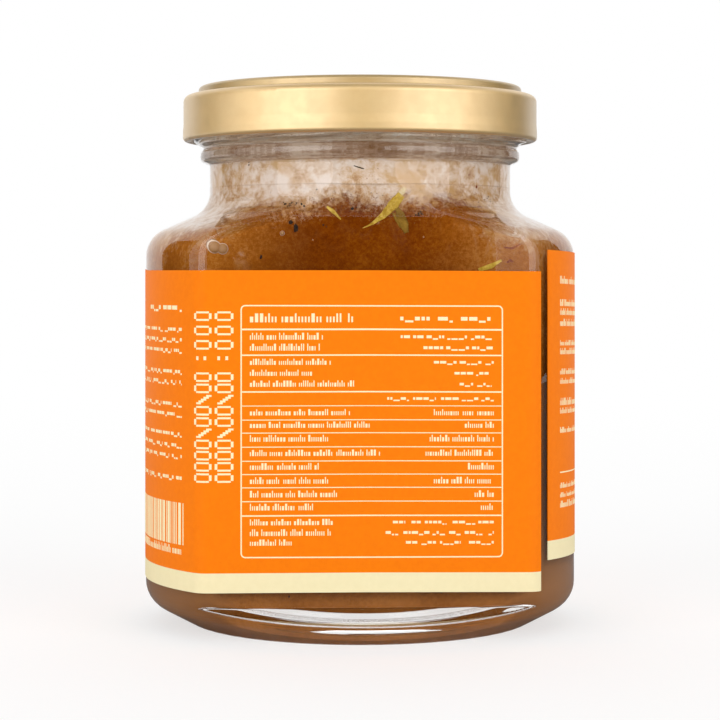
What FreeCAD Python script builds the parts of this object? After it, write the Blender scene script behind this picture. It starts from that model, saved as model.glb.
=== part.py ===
import FreeCAD, Part
import math
import os

# A filled honey jar: pressed glass with a flat label panel front and back, a twist-off cap,
# honey with a layer of froth on it, and a paper label wrapped round the body.
# Millimetres, +Z up, origin at the middle of the foot, the front panel faces -Y.

# Glass body
BODY_RADIUS = 43.8         # round sides
BODY_HEIGHT = 78.1         # foot to the corner where side and shoulder meet
WALL = 2.6                 # sides, panels and shoulder
FOOT_RADIUS = 34.0         # outer edge of the foot
FOOT_ROUND = 2.0
HEEL_HEIGHT = 5.0          # how far the heel slopes up to the side
HEEL_ROUND = 5.5           # rounding between heel and side
FLOOR_THICKNESS = 5.5      # glass below the honey
FLOOR_CORNER = 6.5         # rounding inside, between floor and side
PUSH_UP_RADIUS = 31.0      # hollow under the foot
PUSH_UP_HEIGHT = 1.8
PUSH_UP_CORNER = 1.2

# Flat panels, front and back
PANEL_DISTANCE = 29.5      # axis to panel
PANEL_CORNER = 3.5         # rounding of a panel's upright edges
LEDGE_HEIGHT = 6.2         # foot to the ledge below a panel
PANEL_TOP = 0.8            # neck corner up to where a panel turns out to the neck
PANEL_SWEEP = 3.5          # below that, where it starts to turn
PANEL_RUN_OUT = 3.24       # neck corner up to where it meets the neck

# Shoulder and neck
SHOULDER_SLOPE = 23.7      # degrees above level
SHOULDER_ROUND = 6.0       # convex rounding at the side
NECK_RADIUS = 30.8
NECK_WALL = 2.5
NECK_ROUND = 5.6           # hollow rounding at the neck
NECK_HEIGHT = 9.0          # neck corner up to the bead

# Finish: bead, groove, threads and sealing rim
BEAD_DEPTH = 1.9           # how far it stands out of the neck
BEAD_HEIGHT = 3.3
BEAD_ROUND = 0.9
GROOVE_DEPTH = 1.1         # how far the groove above the bead stands out of the neck
FINISH_DEPTH = 2.2         # how far the wall above stands out of the neck
FINISH_HEIGHT = 9.5        # groove to sealing rim
FINISH_FOOT = 0.9          # groove up to the full finish wall
RIM_ROUND = 0.8
THREAD_COUNT = 4
THREAD_LEAD = 17.0         # rise for each full turn
THREAD_SPAN = 76.0         # degrees round the finish
THREAD_START = 41.0        # degrees from the front to the first low end
THREAD_DEPTH = 1.2
THREAD_ROOT = 1.8          # height where it leaves the finish
THREAD_CREST = 1.0
SEAM_DOT = 0.7             # radius of the mould maker's dot on the bead
SEAM_DOT_PROUD = 0.35
SEAM_DOT_ANGLE = 4.5       # degrees from the front

# Cap of lacquered tinplate, with its sealing compound
CAP_SHEET = 0.5
CAP_CLEARANCE = 0.3        # thread crest to the curl
COMPOUND = 0.9             # thickness of the sealing ring
COMPOUND_MARGIN = 1.0      # how far it reaches past the glass rim on each side
CAP_EDGE_ROUND = 1.4
CAP_SHELF = 3.2            # width of the ring round the raised middle
CAP_PANEL_RISE = 1.8
CAP_PANEL_ROUND = 0.8
CAP_SKIRT = 9.4            # top of the band to the bottom of the curl
CURL_HEIGHT = 1.9
CURL_DEPTH = 1.8
CURL_PROUD = 0.1           # how far the curl stands out of the skirt
CURL_BLEND = 1.6           # height over which the skirt runs out to it
CURL_BLEND_ROUND = 6.0
LUG_CLEARANCE = 0.25       # lug to the glass beside and above it
LUG_HEIGHT = 1.1
LUG_RAISE = 0.3            # bottom of the curl up to the lug
LUG_SPAN = 12.0            # degrees
LUG_PLACE = 25.0           # degrees past the middle of its thread

# Contents
HEADSPACE = 15.3           # sealing rim down to the froth
FROTH_DEPTH = 7.4

# Paper label; angles count from the front, towards +X
LABEL_TOP_MARGIN = 6.75    # its upper edge at the front, below the shoulder's corner
LABEL_BOTTOM_MARGIN = 3.2  # its lower edge at the front, above the ledge
LABEL_THICKNESS = 0.15
LABEL_FIRST_EDGE = 49.9
LABEL_SECOND_EDGE = 53.3
LABEL_DROP = 0.2           # how much lower the first edge lies
LABEL_LIFT = 4.0           # how much higher the top of the second edge lies
LABEL_FOOT_LIFT = 5.5      # and the foot of it, where the paper is cut shorter
LABEL_LEVEL_UNTIL = -80.0  # from here the strip climbs round the back
LABEL_STEP = 30.0          # degrees between its stations on the round sides

slope = math.radians(SHOULDER_SLOPE)
neck_corner_z = BODY_HEIGHT + (BODY_RADIUS - NECK_RADIUS) * math.tan(slope)
bead_z = neck_corner_z + NECK_HEIGHT
groove_z = bead_z + BEAD_HEIGHT
rim_z = groove_z + FINISH_HEIGHT
bead_radius = NECK_RADIUS + BEAD_DEPTH
finish_radius = NECK_RADIUS + FINISH_DEPTH
bore_radius = NECK_RADIUS - NECK_WALL
cap_radius = finish_radius + THREAD_DEPTH + CAP_CLEARANCE + CURL_DEPTH
cap_top = rim_z + COMPOUND + CAP_SHEET
cap_bottom = cap_top - CAP_SKIRT
lug_top = cap_bottom + LUG_RAISE + LUG_HEIGHT
froth_level = rim_z - HEADSPACE
honey_level = froth_level - FROTH_DEPTH
label_bottom = LEDGE_HEIGHT + LABEL_BOTTOM_MARGIN
label_height = BODY_HEIGHT - LABEL_TOP_MARGIN - label_bottom
far = 2 * (BODY_RADIUS + PANEL_DISTANCE)
AXIS = FreeCAD.Vector(0, 0, 1)
TINY = 1e-6


def point(x, y, z=0.0):
    return FreeCAD.Vector(x, y, z)


def polar(radius, degrees, z=0.0):
    """Point at an angle from the front, counted towards +X."""
    angle = math.radians(degrees)
    return point(radius * math.sin(angle), -radius * math.cos(angle), z)


def line(start, end):
    return Part.LineSegment(start, end).toShape()


def rounded_face(corners, place):
    """Face inside the closed outline of (a, b, rounding) corners.

    place turns a flat (a, b) point into space. A rounding that has no room
    beside its neighbours is cut down to the room there is.
    """
    count = len(corners)
    spots = [point(a, b) for a, b, rounding in corners]
    sides = [spots[(i + 1) % count] - spots[i] for i in range(count)]
    halves = [(sides[i - 1] * -1).getAngle(sides[i]) / 2 for i in range(count)]
    reaches = [corners[i][2] / math.tan(halves[i]) for i in range(count)]
    room = [min(1.0, sides[i].Length / max(reaches[i] + reaches[(i + 1) % count], TINY))
            for i in range(count)]
    starts, middles, ends = [], [], []
    for i in range(count):
        reach = reaches[i] * min(room[i - 1], room[i])
        rounding = reach * math.tan(halves[i])
        back = FreeCAD.Vector(sides[i - 1]).normalize() * -1
        on = FreeCAD.Vector(sides[i]).normalize()
        to_middle = rounding / math.sin(halves[i]) - rounding
        starts.append(place(spots[i] + back * reach))
        middles.append(place(spots[i] + (back + on).normalize() * to_middle))
        ends.append(place(spots[i] + on * reach))
    edges = []
    for i in range(count):
        if ends[i - 1].distanceToPoint(starts[i]) > TINY:
            edges.append(line(ends[i - 1], starts[i]))
        if starts[i].distanceToPoint(ends[i]) > TINY:
            edges.append(Part.Arc(starts[i], middles[i], ends[i]).toShape())
    return Part.Face(Part.Wire(edges))


def turned(corners, degrees=360.0):
    """Solid of revolution about Z from (radius, height, rounding) corners.

    A part turn has its middle at the front.
    """
    face = rounded_face(corners, lambda p: point(p.x, 0, p.y))
    return spun(face.revolve(point(0, 0, 0), AXIS, degrees), -90 - degrees / 2)


def spun(shape, degrees):
    """A copy turned about Z."""
    copy = shape.copy()
    copy.rotate(point(0, 0, 0), AXIS, degrees)
    return copy


def panel_plan(inset, offset=0.0):
    """Key points of a panel's plan: end of the flat, middle and end of its corner arc."""
    radius = BODY_RADIUS - inset + offset
    distance = PANEL_DISTANCE - inset + offset
    corner = PANEL_CORNER + offset
    centre = point(math.sqrt((radius - corner) ** 2 - (distance - corner) ** 2),
                   corner - distance)
    turn = math.degrees(math.atan2(centre.x, -centre.y))
    flat_end = point(centre.x, -distance)
    middle = centre + polar(corner, turn / 2)
    return flat_end, middle, polar(radius, turn), turn


def mirrored(p):
    return point(-p.x, p.y, p.z)


def panel_space(inset, bottom):
    """What a flat front panel takes away from a round body, from bottom upwards.

    With an inset it is the same space for the inner side of the wall.
    """
    flat_end, middle, round_end, turn = panel_plan(inset)
    outside = polar(far, turn)
    plan = Part.Wire([
        line(mirrored(flat_end), flat_end),
        Part.Arc(flat_end, middle, round_end).toShape(),
        line(round_end, outside),
        line(outside, point(outside.x, -2 * far)),
        line(point(outside.x, -2 * far), point(-outside.x, -2 * far)),
        line(point(-outside.x, -2 * far), mirrored(outside)),
        line(mirrored(outside), mirrored(round_end)),
        Part.Arc(mirrored(round_end), mirrored(middle), mirrored(flat_end)).toShape(),
    ])
    tower = Part.Face(plan).extrude(point(0, 0, rim_z - bottom))
    tower.translate(point(0, 0, bottom))
    overhang = NECK_RADIUS - PANEL_DISTANCE
    if overhang <= 0:
        return tower
    # The panel lies inside the neck, so its top sweeps out to meet the neck.
    run_out = math.atan2(PANEL_RUN_OUT - PANEL_TOP, overhang)
    shift = inset * (1 - math.sin(run_out)) / math.cos(run_out)
    distance = PANEL_DISTANCE - inset
    top = neck_corner_z + PANEL_TOP + shift
    turn_start = neck_corner_z + PANEL_TOP - PANEL_SWEEP
    half = (math.pi / 2 + run_out) / 2
    below = rounded_face([
        (0, turn_start, 0),
        (distance, turn_start, 0),
        (distance, top, (top - turn_start) * math.tan(half)),
        (distance + far * math.cos(run_out), top + far * math.sin(run_out), 0),
        (2 * far, bottom, 0),
        (0, bottom, 0),
    ], lambda p: point(-2 * far, -p.x, p.y))
    return tower.common(below.extrude(point(4 * far, 0, 0)))


def with_panels(shape, inset, bottom):
    space = panel_space(inset, bottom)
    return shape.cut(space).cut(spun(space, 180))


def cavity():
    """Inside of the glass, open at the rim."""
    inner = BODY_RADIUS - WALL
    drop = WALL * (math.tan(slope) - 1 / math.cos(slope))
    bore_corner = BODY_HEIGHT + (BODY_RADIUS - bore_radius) * math.tan(slope) - WALL / math.cos(slope)
    shape = turned([
        (0, FLOOR_THICKNESS, 0),
        (inner, FLOOR_THICKNESS, FLOOR_CORNER),
        (inner, BODY_HEIGHT + drop, SHOULDER_ROUND - WALL),
        (bore_radius, bore_corner, NECK_ROUND + WALL),
        (bore_radius, rim_z, 0),
        (0, rim_z, 0),
    ])
    return with_panels(shape, WALL, 0)


def thread():
    """One raised thread, its middle at the front."""
    root = finish_radius - FINISH_DEPTH / 2
    crest = finish_radius + THREAD_DEPTH
    flank = (THREAD_ROOT - THREAD_CREST) / 2 / THREAD_DEPTH
    root_half = THREAD_ROOT / 2 + flank * (finish_radius - root)
    bar = turned([
        (root, -root_half, 0),
        (crest, -THREAD_CREST / 2, 0),
        (crest, THREAD_CREST / 2, 0),
        (root, root_half, 0),
    ], THREAD_SPAN)
    lead_angle = math.atan2(THREAD_LEAD, 2 * math.pi * finish_radius)
    bar.rotate(point(0, 0, 0), point(0, 1, 0), -math.degrees(lead_angle))
    lug_near_end = math.radians(LUG_PLACE - LUG_SPAN / 2)
    rise_at_lug = finish_radius * math.sin(lug_near_end) * math.tan(lead_angle)
    bar.translate(point(0, 0, lug_top + LUG_CLEARANCE + THREAD_ROOT / 2 - rise_at_lug))
    return bar


def seam_dot():
    """Low button on the bead, its round face outwards."""
    root = polar(NECK_RADIUS, SEAM_DOT_ANGLE, bead_z + BEAD_HEIGHT / 2)
    outwards = polar(1, SEAM_DOT_ANGLE)
    return Part.makeCylinder(SEAM_DOT, BEAD_DEPTH + SEAM_DOT_PROUD, root, outwards)


def glass_jar():
    outside = turned([
        (0, PUSH_UP_HEIGHT, 0),
        (PUSH_UP_RADIUS - PUSH_UP_HEIGHT, PUSH_UP_HEIGHT, PUSH_UP_CORNER),
        (PUSH_UP_RADIUS, 0, PUSH_UP_CORNER),
        (FOOT_RADIUS, 0, FOOT_ROUND),
        (BODY_RADIUS, HEEL_HEIGHT, HEEL_ROUND),
        (BODY_RADIUS, BODY_HEIGHT, SHOULDER_ROUND),
        (NECK_RADIUS, neck_corner_z, NECK_ROUND),
        (NECK_RADIUS, bead_z, BEAD_ROUND / 2),
        (bead_radius, bead_z + BEAD_HEIGHT / 4, BEAD_ROUND),
        (bead_radius, groove_z - BEAD_HEIGHT / 4, BEAD_ROUND),
        (NECK_RADIUS + GROOVE_DEPTH, groove_z, BEAD_ROUND / 2),
        (finish_radius, groove_z + FINISH_FOOT, BEAD_ROUND / 2),
        (finish_radius, rim_z, RIM_ROUND),
        (0, rim_z, 0),
    ])
    glass = with_panels(outside, 0, LEDGE_HEIGHT).cut(cavity())
    raised = [seam_dot()]
    for i in range(THREAD_COUNT):
        middle = THREAD_START + THREAD_SPAN / 2 + i * 360 / THREAD_COUNT
        raised.append(spun(thread(), middle))
    return glass.Solids[0].multiFuse(raised).removeSplitter()


def twist_cap():
    skirt = cap_radius - CURL_PROUD
    panel = cap_radius - CAP_SHELF
    panel_top = cap_top + CAP_PANEL_RISE
    curl_top = cap_bottom + CURL_HEIGHT
    curl_inner = cap_radius - CURL_DEPTH
    curl_round = CURL_DEPTH / 2 - 0.05
    compound_outer = finish_radius + COMPOUND_MARGIN
    compound_inner = bore_radius + COMPOUND_MARGIN
    shape = turned([
        (0, panel_top, 0),
        (panel, panel_top, CAP_PANEL_ROUND),
        (panel, cap_top, CAP_PANEL_ROUND / 2),
        (skirt, cap_top, CAP_EDGE_ROUND),
        (skirt, curl_top + CURL_BLEND, CURL_BLEND_ROUND),
        (cap_radius, curl_top, CURL_BLEND_ROUND),
        (cap_radius, cap_bottom, curl_round),
        (curl_inner, cap_bottom, curl_round),
        (curl_inner, curl_top, CURL_PROUD),
        (skirt - CAP_SHEET, curl_top, 0),
        (skirt - CAP_SHEET, cap_top - CAP_SHEET, CAP_EDGE_ROUND - CAP_SHEET),
        (compound_outer, cap_top - CAP_SHEET, 0),
        (compound_outer, rim_z, 0),
        (compound_inner, rim_z, 0),
        (compound_inner, panel_top - CAP_SHEET, 0),
        (0, panel_top - CAP_SHEET, 0),
    ])
    lug = turned([
        (finish_radius + LUG_CLEARANCE, lug_top - LUG_HEIGHT, 0),
        (curl_inner + CURL_DEPTH / 2, lug_top - LUG_HEIGHT, 0),
        (curl_inner + CURL_DEPTH / 2, lug_top, 0),
        (finish_radius + LUG_CLEARANCE, lug_top, 0),
    ], LUG_SPAN)
    for i in range(THREAD_COUNT):
        middle = THREAD_START + THREAD_SPAN / 2 + LUG_PLACE + i * 360 / THREAD_COUNT
        shape = shape.fuse(spun(lug, middle))
    return shape.removeSplitter()


def layer(bottom, top):
    """Contents between two levels."""
    slab = Part.makeBox(far, far, top - bottom, point(-far / 2, -far / 2, bottom))
    return cavity().common(slab)


def label_ring():
    """The label's thickness all round the body, without its ends."""
    faces = []
    for offset in (0.0, LABEL_THICKNESS):
        flat_end, middle, round_end, turn = panel_plan(0, offset)
        side = polar(BODY_RADIUS + offset, 90)
        quarter = [
            line(point(0, flat_end.y), flat_end),
            Part.Arc(flat_end, middle, round_end).toShape(),
            Part.Arc(round_end, polar(BODY_RADIUS + offset, (turn + 90) / 2), side).toShape(),
        ]
        half = quarter + [edge.mirror(point(0, 0, 0), point(0, 1, 0)) for edge in quarter]
        whole = half + [edge.mirror(point(0, 0, 0), point(1, 0, 0)) for edge in half]
        faces.append(Part.Face(Part.Wire(Part.__sortEdges__(whole))))
    ring = faces[1].extrude(point(0, 0, rim_z)).cut(faces[0].extrude(point(0, 0, rim_z)))
    return ring


def section_radius(degrees):
    """Axis to the outer face of the body at an angle from the front."""
    flat = abs(math.cos(math.radians(degrees)))
    return min(BODY_RADIUS, PANEL_DISTANCE / max(flat, TINY))


def label_rise(degrees, lift):
    """How far an edge of the label lies above its height at the front, at a wrap angle."""
    if degrees > 0:
        return -LABEL_DROP * degrees / LABEL_FIRST_EDGE
    if degrees > LABEL_LEVEL_UNTIL:
        return 0.0
    last = LABEL_SECOND_EDGE - 360
    return lift * (degrees - LABEL_LEVEL_UNTIL) / (last - LABEL_LEVEL_UNTIL)


def label_wedge(first, second):
    """Slice of space between two wrap angles and the label's sloping edges."""
    lower = [point(0, 0, label_bottom)]
    upper = [point(0, 0, label_bottom + label_height)]
    for degrees in (first, second):
        reach = far / section_radius(degrees)
        foot = label_bottom + label_rise(degrees, LABEL_FOOT_LIFT) * reach
        top = label_bottom + label_height + label_rise(degrees, LABEL_LIFT) * reach
        lower.append(polar(far, degrees, foot))
        upper.append(polar(far, degrees, top))
    rings = [lower, upper]
    for i in range(3):
        j = (i + 1) % 3
        rings.append([lower[i], lower[j], upper[j], upper[i]])
    faces = [Part.Face(Part.makePolygon(ring + ring[:1])) for ring in rings]
    return Part.Solid(Part.Shell(faces))


def label():
    """Paper strip that starts at the front right, runs round the back and ends above its start."""
    corner = panel_plan(0)[3]
    last = LABEL_SECOND_EDGE - 360
    stations = [LABEL_FIRST_EDGE, 0.0, -corner, LABEL_LEVEL_UNTIL]
    while stations[-1] - LABEL_STEP > last:
        stations.append(stations[-1] - LABEL_STEP)
    stations.append(last)
    ring = label_ring()
    pieces = [ring.common(label_wedge(stations[i], stations[i + 1]))
              for i in range(len(stations) - 1)]
    return pieces[0].multiFuse(pieces[1:]).removeSplitter()


def build():
    return {
        "glass_jar": glass_jar(),
        "twist_cap": twist_cap(),
        "honey": layer(0, honey_level),
        "froth": layer(honey_level, froth_level),
        "label": label(),
    }


os.makedirs("parts", exist_ok=True)
for name, shape in build().items():
    print(name, shape.ShapeType, len(shape.Solids), shape.isValid(), round(shape.Volume, 1))
    shape.exportStep("parts/" + name + ".step")
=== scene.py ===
import math
import random

import bpy
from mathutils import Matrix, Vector, noise


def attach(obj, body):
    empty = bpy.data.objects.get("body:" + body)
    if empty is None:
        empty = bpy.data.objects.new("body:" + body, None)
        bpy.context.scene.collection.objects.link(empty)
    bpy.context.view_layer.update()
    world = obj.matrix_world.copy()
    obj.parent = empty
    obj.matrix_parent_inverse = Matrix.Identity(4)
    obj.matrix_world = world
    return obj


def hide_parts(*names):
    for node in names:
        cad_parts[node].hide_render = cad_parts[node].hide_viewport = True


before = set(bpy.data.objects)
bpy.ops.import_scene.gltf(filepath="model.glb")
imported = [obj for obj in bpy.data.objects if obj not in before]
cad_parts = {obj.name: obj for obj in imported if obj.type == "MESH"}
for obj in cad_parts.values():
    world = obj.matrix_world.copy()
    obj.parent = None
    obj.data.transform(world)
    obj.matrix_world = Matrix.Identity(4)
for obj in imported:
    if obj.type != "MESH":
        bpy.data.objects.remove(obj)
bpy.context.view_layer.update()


# Glass jar. One piece of pressed clear glass: a round body with a flat panel pressed into
# its front and back for the label, a sloping shoulder, a neck with a bead, and a finish
# with four starts of thread. The foot is thick, with a shallow hollow under it.

# Lengths are in metres, and the turns of the thread in degrees round from the front.
BODY_RADIUS = 0.0438
BODY_HEIGHT = 0.0781
WALL = 0.0026
SHOULDER_SLOPE = math.radians(23.7)
NECK_RADIUS = 0.0308
BORE_RADIUS = 0.0283
NECK_CORNER = BODY_HEIGHT + (BODY_RADIUS - NECK_RADIUS) * math.tan(SHOULDER_SLOPE)
BEAD_FOOT = NECK_CORNER + 0.009
GROOVE = BEAD_FOOT + 0.0033
RIM = GROOVE + 0.0095
FINISH_RADIUS = NECK_RADIUS + 0.0022
BEAD_RADIUS = NECK_RADIUS + 0.0019
FLOOR = 0.0055
FLOOR_ROUND = 0.0065
PANEL_DISTANCE = 0.0295
PANEL_SOFTNESS = 0.0016
PANEL_END = NECK_CORNER - 0.0027
PANEL_END_RUN = 0.0059
PANEL_END_SWEEP = 0.0014
LEDGE = 0.0063
LEDGE_FALL = 7.6
LEDGE_ROUND = 0.0004
LEDGE_BELOW = 0.0026
LEDGE_ABOVE = 0.0014
THREAD_STARTS = 4
THREAD_FIRST = 79
THREAD_REACH = 38
THREAD_RUN_OUT = 3
THREAD_RISE = 0.017 / (2 * math.pi * FINISH_RADIUS)
THREAD_MIDDLE = 0.09785
THREAD_HALF = 0.0009
THREAD_FLANK = 0.0004
THREAD_DEPTH = 0.0012
DOT_SIDE = 0.00257
DOT_BELOW_GROOVE = 0.00165
DOT_RADIUS = 0.001
DOT_DEPTH = 0.0004
TURN_STEPS = 240
ROW_SPACING = 0.0012
LEDGE_SPACING = 0.0001
THREAD_SPACING = 0.0003
WELD = 2e-6


def rounded_outline(corners, spacing):
    """Points along an open outline of (radius, height, rounding) corners, evenly spaced."""
    turns = []
    for i, (r, z, rounding) in enumerate(corners):
        here = Vector((r, z))
        if rounding == 0:
            turns.append([here])
            continue
        back = (Vector(corners[i - 1][:2]) - here).normalized()
        on = (Vector(corners[i + 1][:2]) - here).normalized()
        half = back.angle(on) / 2
        start = here + back * rounding / math.tan(half)
        end = here + on * rounding / math.tan(half)
        centre = here + (back + on).normalized() * rounding / math.sin(half)
        steps = max(3, round(rounding * (math.pi - 2 * half) / spacing))
        arc = []
        for k in range(steps + 1):
            chord = start.lerp(end, k / steps) - centre
            arc.append(centre + chord.normalized() * rounding)
        turns.append(arc)
    points = list(turns[0])
    for arc in turns[1:]:
        run = arc[0] - points[-1]
        steps = max(1, math.ceil(run.length / spacing))
        points += [points[-1] + run * k / steps for k in range(1, steps)] + arc
    return points


def spun_piece(name, outline, steps, closed=False):
    """An outline drawn edge by edge and spun round the jar's axis: a sixteenth of a turn in
    fine steps, then that piece doubled four times."""
    bpy.ops.object.select_all(action="DESELECT")
    bpy.ops.mesh.primitive_plane_add(size=0.001)
    piece = bpy.context.object
    piece.name = name
    bpy.ops.object.mode_set(mode="EDIT")
    bpy.ops.mesh.merge(type="CENTER")
    bpy.ops.transform.translate(value=(outline[0].x, 0, outline[0].y))
    for last, following in zip(outline, outline[1:]):
        step = following - last
        bpy.ops.mesh.extrude_vertices_move(
            TRANSFORM_OT_translate={"value": (step.x, 0, step.y)})
    bpy.ops.mesh.select_all(action="SELECT")
    if closed:
        bpy.ops.mesh.edge_face_add()
        bpy.ops.mesh.delete(type="ONLY_FACE")
        bpy.ops.mesh.select_all(action="SELECT")
    bpy.ops.mesh.spin(steps=steps // 16, angle=math.pi / 8, center=(0, 0, 0), axis=(0, 0, 1))
    for turn in (math.pi / 8, math.pi / 4, math.pi / 2, math.pi):
        bpy.ops.mesh.select_all(action="SELECT")
        bpy.ops.mesh.spin(steps=1, angle=turn, dupli=True, center=(0, 0, 0), axis=(0, 0, 1))
    bpy.ops.mesh.select_all(action="SELECT")
    bpy.ops.mesh.remove_doubles(threshold=WELD)
    bpy.ops.mesh.normals_make_consistent(inside=False)
    bpy.ops.object.mode_set(mode="OBJECT")
    bpy.ops.object.shade_smooth()
    return piece


def press_panels(piece, distance, ledge=0.0):
    """The flat front and back pressed into a round piece, with soft corners. High up the flat
    sweeps out into the shoulder, and below a ledge it falls outwards to the round foot."""
    for v in piece.data.vertices:
        z = v.co.z
        limit = distance
        if ledge and z < ledge + LEDGE_ROUND:
            above = min(max(z - ledge, 0.0), LEDGE_ROUND)
            limit += LEDGE_ROUND - math.sqrt(LEDGE_ROUND ** 2 - (LEDGE_ROUND - above) ** 2)
            limit += max(ledge - z, 0.0) * LEDGE_FALL
        sweep = (z - PANEL_END) / PANEL_END_RUN
        if sweep > 0:
            limit += PANEL_END_SWEEP * sweep * sweep
        depth = abs(v.co.y)
        near = max(PANEL_SOFTNESS - abs(depth - limit), 0.0) / PANEL_SOFTNESS
        pressed = max(min(depth, limit) - near * near * PANEL_SOFTNESS / 4, 0.0)
        v.co.y = math.copysign(pressed, v.co.y)


def along_bore(reach=0.0, spacing=0.0008):
    """The inside of the glass from floor to rim, or that far out into the wall."""
    inner = BODY_RADIUS - WALL + reach
    drop = (WALL - reach) * (math.tan(SHOULDER_SLOPE) - 1 / math.cos(SHOULDER_SLOPE))
    bore = BORE_RADIUS + reach
    corner = (BODY_HEIGHT + (BODY_RADIUS - bore) * math.tan(SHOULDER_SLOPE)
              - (WALL - reach) / math.cos(SHOULDER_SLOPE))
    return rounded_outline([
        (0, FLOOR - reach, 0),
        (inner, FLOOR - reach, FLOOR_ROUND),
        (inner, BODY_HEIGHT + drop, 0.0034),
        (bore, corner, 0.0082),
        (bore, RIM, 0),
    ], spacing)


outside = rounded_outline([
    (0, 0.0018, 0),
    (0.0292, 0.0018, 0.0012),
    (0.0310, 0, 0.0012),
    (0.0345, 0, 0.0008),
    (BODY_RADIUS, 0.0050, 0.0055),
    (BODY_RADIUS, BODY_HEIGHT, 0.006),
    (NECK_RADIUS, NECK_CORNER, 0.0056),
    (NECK_RADIUS, BEAD_FOOT, 0.00045),
    (BEAD_RADIUS, BEAD_FOOT + 0.0008, 0.0009),
    (BEAD_RADIUS, GROOVE - 0.0008, 0.0009),
    (NECK_RADIUS + 0.0011, GROOVE, 0.00045),
    (FINISH_RADIUS, GROOVE + 0.0009, 0.00045),
    (FINISH_RADIUS, RIM, 0.0008),
    (BORE_RADIUS, RIM, 0),
], 0.001)
rows = []
for last, following in zip(outside, outside[1:]):
    run = following - last
    spacing = ROW_SPACING
    if run.y > 0.0002 and LEDGE - LEDGE_BELOW < last.y < LEDGE + LEDGE_ABOVE:
        spacing = LEDGE_SPACING
    if last.y > GROOVE:
        spacing = THREAD_SPACING
    steps = max(1, math.ceil(run.length / spacing))
    rows += [last + run * k / steps for k in range(steps)]
rows.append(outside[-1])

glass = spun_piece("glass_jar_clear", rows, TURN_STEPS)
press_panels(glass, PANEL_DISTANCE, LEDGE)
for v in glass.data.vertices:
    radius = math.hypot(v.co.x, v.co.y)
    if v.co.z > GROOVE and radius > FINISH_RADIUS - 0.0002:
        around = math.degrees(math.atan2(v.co.x, -v.co.y))
        for start in range(THREAD_STARTS):
            past = (around - THREAD_FIRST - 360 / THREAD_STARTS * start + 180) % 360 - 180
            centre = THREAD_MIDDLE + radius * math.sin(math.radians(past)) * THREAD_RISE
            flank = min(max((THREAD_HALF - abs(v.co.z - centre)) / THREAD_FLANK, 0), 1)
            end = min(max((THREAD_REACH - abs(past)) / THREAD_RUN_OUT, 0), 1)
            if flank * end > 0:
                swell = 1 + THREAD_DEPTH * flank * end / radius
                v.co.x *= swell
                v.co.y *= swell
    dot = Vector((v.co.x - DOT_SIDE, v.co.z - GROOVE + DOT_BELOW_GROOVE)).length
    if v.co.y < -NECK_RADIUS and dot < DOT_RADIUS:
        v.co.y -= DOT_DEPTH * (1 - (dot / DOT_RADIUS) ** 2)

bore = spun_piece("bore", along_bore(spacing=ROW_SPACING), TURN_STEPS)
press_panels(bore, PANEL_DISTANCE - WALL)
bpy.ops.object.select_all(action="DESELECT")
bore.select_set(True)
glass.select_set(True)
bpy.context.view_layer.objects.active = glass
bpy.ops.object.join()
bpy.ops.object.mode_set(mode="EDIT")
bpy.ops.mesh.select_all(action="SELECT")
bpy.ops.mesh.remove_doubles(threshold=WELD)
bpy.ops.mesh.normals_make_consistent(inside=False)
bpy.ops.object.mode_set(mode="OBJECT")


def start_finish(name, roughness=0.5, specular=0.5):
    """A new material, which the functions below then add to."""
    global nodes, links, body
    finish = bpy.data.materials.new(name)
    finish.use_nodes = True
    nodes, links = finish.node_tree.nodes, finish.node_tree.links
    body = nodes["Principled BSDF"]
    body.inputs["Roughness"].default_value = roughness
    body.inputs["Specular IOR Level"].default_value = specular
    return finish


def own_place():
    """The piece's own coordinates, from one node in each material or group."""
    place = nodes.get("Texture Coordinate") or nodes.new("ShaderNodeTexCoord")
    return place.outputs["Object"]


def own_axis(axis):
    """One axis of the piece's own coordinates."""
    split = nodes.new("ShaderNodeSeparateXYZ")
    links.new(own_place(), split.inputs["Vector"])
    return split.outputs[axis]


def worked_out(operation, first, second=0.0):
    """A Math node on numbers or sockets."""
    step = nodes.new("ShaderNodeMath")
    step.operation = operation
    for socket, value in zip(step.inputs, (first, second)):
        if isinstance(value, bpy.types.NodeSocket):
            links.new(value, socket)
        else:
            socket.default_value = value
    return step.outputs[0]


def graded(value, low, high, to_low=0.0, to_high=1.0, smooth=True):
    """A value carried from one range to another."""
    step = nodes.new("ShaderNodeMapRange")
    step.interpolation_type = "SMOOTHSTEP" if smooth else "LINEAR"
    links.new(value, step.inputs["Value"])
    step.inputs["From Min"].default_value = low
    step.inputs["From Max"].default_value = high
    step.inputs["To Min"].default_value = to_low
    step.inputs["To Max"].default_value = to_high
    return step.outputs["Result"]


def grain(scale, detail, roughness=0.5, distortion=0.0, squeeze=(1, 1, 1)):
    """Noise over the piece, squeezed along an axis where it runs in streaks."""
    turn = nodes.new("ShaderNodeMapping")
    turn.inputs["Scale"].default_value = squeeze
    texture = nodes.new("ShaderNodeTexNoise")
    texture.inputs["Scale"].default_value = scale
    texture.inputs["Detail"].default_value = detail
    texture.inputs["Roughness"].default_value = roughness
    texture.inputs["Distortion"].default_value = distortion
    links.new(own_place(), turn.inputs["Vector"])
    links.new(turn.outputs["Vector"], texture.inputs["Vector"])
    return texture.outputs["Fac"]


def relief(height, strength, depth):
    """Fine relief on the material's surface."""
    bump = nodes.new("ShaderNodeBump")
    bump.inputs["Strength"].default_value = strength
    bump.inputs["Distance"].default_value = depth
    links.new(height, bump.inputs["Height"])
    links.new(bump.outputs["Normal"], body.inputs["Normal"])


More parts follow.
